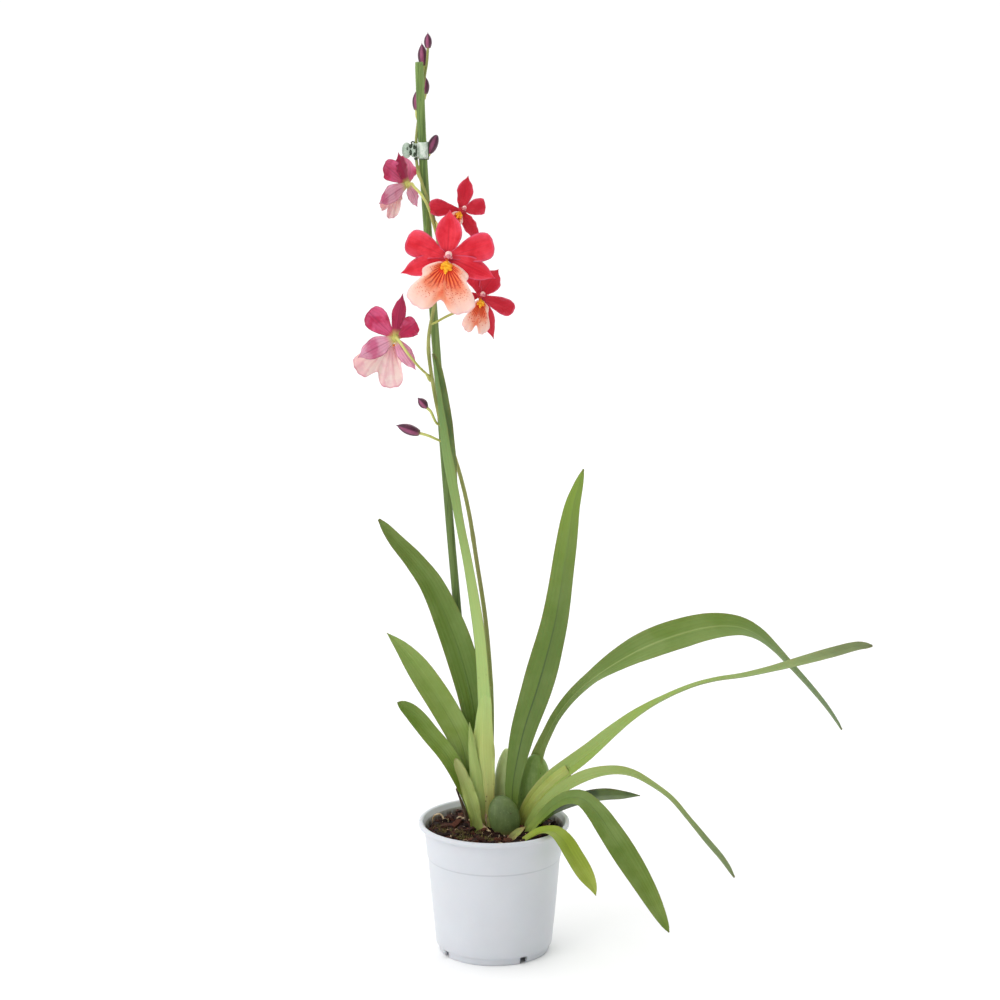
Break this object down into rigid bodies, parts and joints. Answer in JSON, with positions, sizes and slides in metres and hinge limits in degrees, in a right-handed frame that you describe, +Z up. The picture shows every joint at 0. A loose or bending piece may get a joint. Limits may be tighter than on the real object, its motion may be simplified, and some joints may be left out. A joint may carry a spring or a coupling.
{
  "type": "potted oncidium orchid",
  "caption": "Oncidium orchid in flower, planted in bark in a round nursery pot, its flower stem held to a cane by a small clip.",
  "frame": {"origin": "on the pot's axis, at the level of the surface that the pot stands on", "axes": "+Z up along the pot's axis and the height of the plant, +X towards the side that the longest leaves reach, -Y towards the side that the main flower faces"},
  "size_m": [0.4017, 0.1374, 0.7252],
  "materials": {
    "pot_plastic": "matte, pale blue-grey",
    "potting_bark": "rough, reddish brown",
    "painted_cane": "satin, dyed green",
    "clip_plastic": "glossy, pale green",
    "stem_tissue": "satin, yellow-green",
    "bud_tissue": "satin, dark purple",
    "tepal_tissue": "soft satin, crimson, pinker behind",
    "lip_tissue": "soft satin, peach with dark lines and a yellow crest",
    "column_tissue": "satin, pale pink",
    "leaf_tissue": "satin, mid green",
    "young_leaf_tissue": "satin, yellow-green",
    "sheath_tissue": "papery, pale yellow-green",
    "bulb_tissue": "satin, green",
    "dry_tissue": "rough, dark brown"
  },
  "bodies": {
    "root": {"pot": "pot_plastic", "substrate": "potting_bark", "stake": "painted_cane", "stem_clip": "clip_plastic", "flower_stem": "stem_tissue", "bud_top_left": "bud_tissue", "bud_top_right": "bud_tissue", "bud_left_of_stake": "bud_tissue", "bud_right_of_stake": "bud_tissue", "bud_at_clip": "bud_tissue", "bud_lower_small": "bud_tissue", "bud_lower_long": "bud_tissue", "flower_top_left_tepals": "tepal_tissue", "flower_top_left_lip": "lip_tissue", "flower_top_left_column": "column_tissue", "flower_top_right_tepals": "tepal_tissue", "flower_top_right_lip": "lip_tissue", "flower_top_right_column": "column_tissue", "flower_main_tepals": "tepal_tissue", "flower_main_lip": "lip_tissue", "flower_main_column": "column_tissue", "flower_right_tepals": "tepal_tissue", "flower_right_lip": "lip_tissue", "flower_right_column": "column_tissue", "flower_lower_left_tepals": "tepal_tissue", "flower_lower_left_lip": "lip_tissue", "flower_lower_left_column": "column_tissue", "leaf_tall": "leaf_tissue", "leaf_left_upper": "leaf_tissue", "leaf_left_middle": "leaf_tissue", "leaf_left_lower": "leaf_tissue", "leaf_upright": "leaf_tissue", "leaf_arching": "leaf_tissue", "leaf_long_right": "leaf_tissue", "leaf_right_drooping": "leaf_tissue", "leaf_right_back": "leaf_tissue", "leaf_front_drooping": "leaf_tissue", "leaf_front_short": "young_leaf_tissue", "sheath_left": "sheath_tissue", "pseudobulb_front": "bulb_tissue", "pseudobulb_right": "bulb_tissue", "pseudobulb_back": "bulb_tissue", "dry_sheath_stub": "dry_tissue"}
  },
  "joints": []
}
